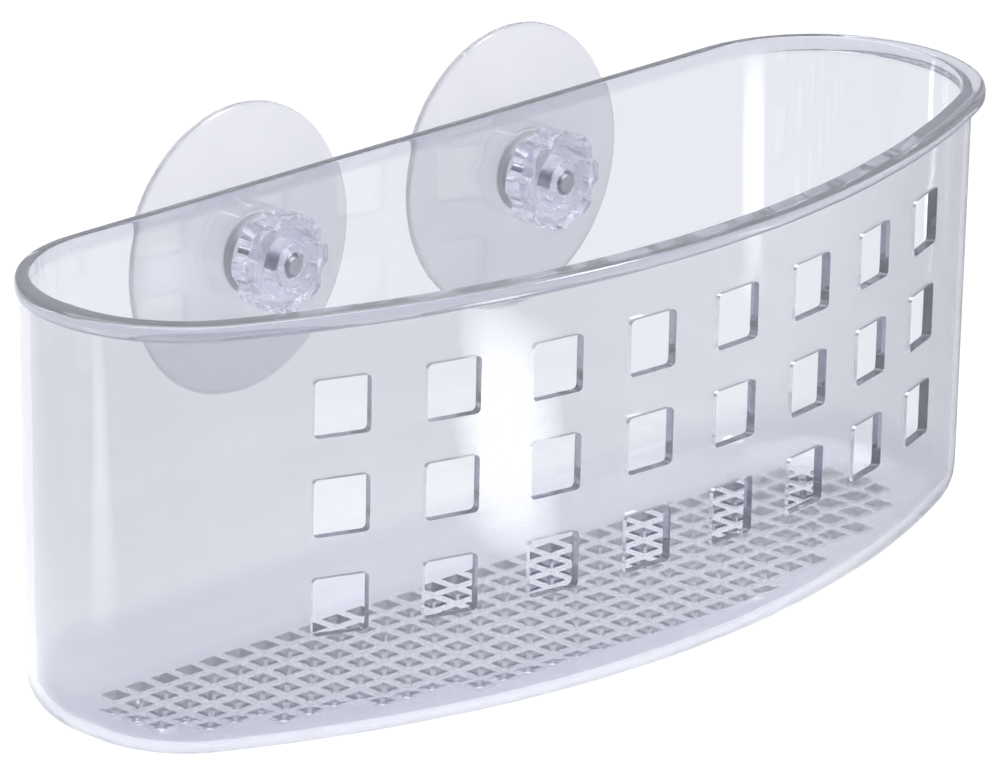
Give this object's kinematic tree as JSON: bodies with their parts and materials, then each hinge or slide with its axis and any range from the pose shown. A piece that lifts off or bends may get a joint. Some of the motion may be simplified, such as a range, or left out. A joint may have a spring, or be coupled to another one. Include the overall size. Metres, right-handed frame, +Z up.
{
  "type": "suction-cup shower caddy",
  "caption": "Clear D-shaped shower basket with a perforated bowed front and drain floor, hung by suction cups on threaded studs with thumb knobs.",
  "frame": {"origin": "centre of the whole caddy's plan, on the plane of the basket's underside", "axes": "+X along the wall, +Y out of the back towards the wall that it hangs on, +Z up"},
  "size_m": [0.24, 0.093, 0.1037],
  "materials": {
    "clear_plastic": "clear, polished",
    "soft_vinyl": "translucent, smooth",
    "stud_steel": "plain steel",
    "washer_plastic": "translucent, matte",
    "knob_plastic": "clear, moulded"
  },
  "bodies": {
    "basket": {"basket": "clear_plastic"},
    "cup_left": {"suction_cup_left": "soft_vinyl", "stud_left": "stud_steel"},
    "washer_left": {"washer_left": "washer_plastic"},
    "knob_left": {"knob_left": "knob_plastic"},
    "cup_right": {"suction_cup_right": "soft_vinyl", "stud_right": "stud_steel"},
    "washer_right": {"washer_right": "washer_plastic"},
    "knob_right": {"knob_right": "knob_plastic"}
  },
  "joints": [
    {"name": "cup_left_spin", "type": "hinge", "parent": "basket", "child": "cup_left", "pos_m": [-0.0375, 0.0395, 0.0745], "axis": [0, 1, 0], "continuous": true},
    {"name": "washer_left_slide", "type": "slide", "parent": "cup_left", "child": "washer_left", "axis": [0, -1, 0], "range_m": [0, 0.0041]},
    {"name": "knob_left_unscrew", "type": "hinge", "parent": "washer_left", "child": "knob_left", "pos_m": [-0.0375, 0.0395, 0.0745], "axis": [0, -1, 0], "range_deg": [0, 1800]},
    {"name": "cup_right_spin", "type": "hinge", "parent": "basket", "child": "cup_right", "pos_m": [0.0375, 0.0395, 0.0745], "axis": [0, 1, 0], "continuous": true},
    {"name": "washer_right_slide", "type": "slide", "parent": "cup_right", "child": "washer_right", "axis": [0, -1, 0], "range_m": [0, 0.0041]},
    {"name": "knob_right_unscrew", "type": "hinge", "parent": "washer_right", "child": "knob_right", "pos_m": [0.0375, 0.0395, 0.0745], "axis": [0, -1, 0], "range_deg": [0, 1800]}
  ],
  "couplings": [
    {"joint": "washer_left_slide", "follows": "knob_left_unscrew", "m_per_rad": 0.00012732},
    {"joint": "washer_right_slide", "follows": "knob_right_unscrew", "m_per_rad": 0.00012732}
  ]
}
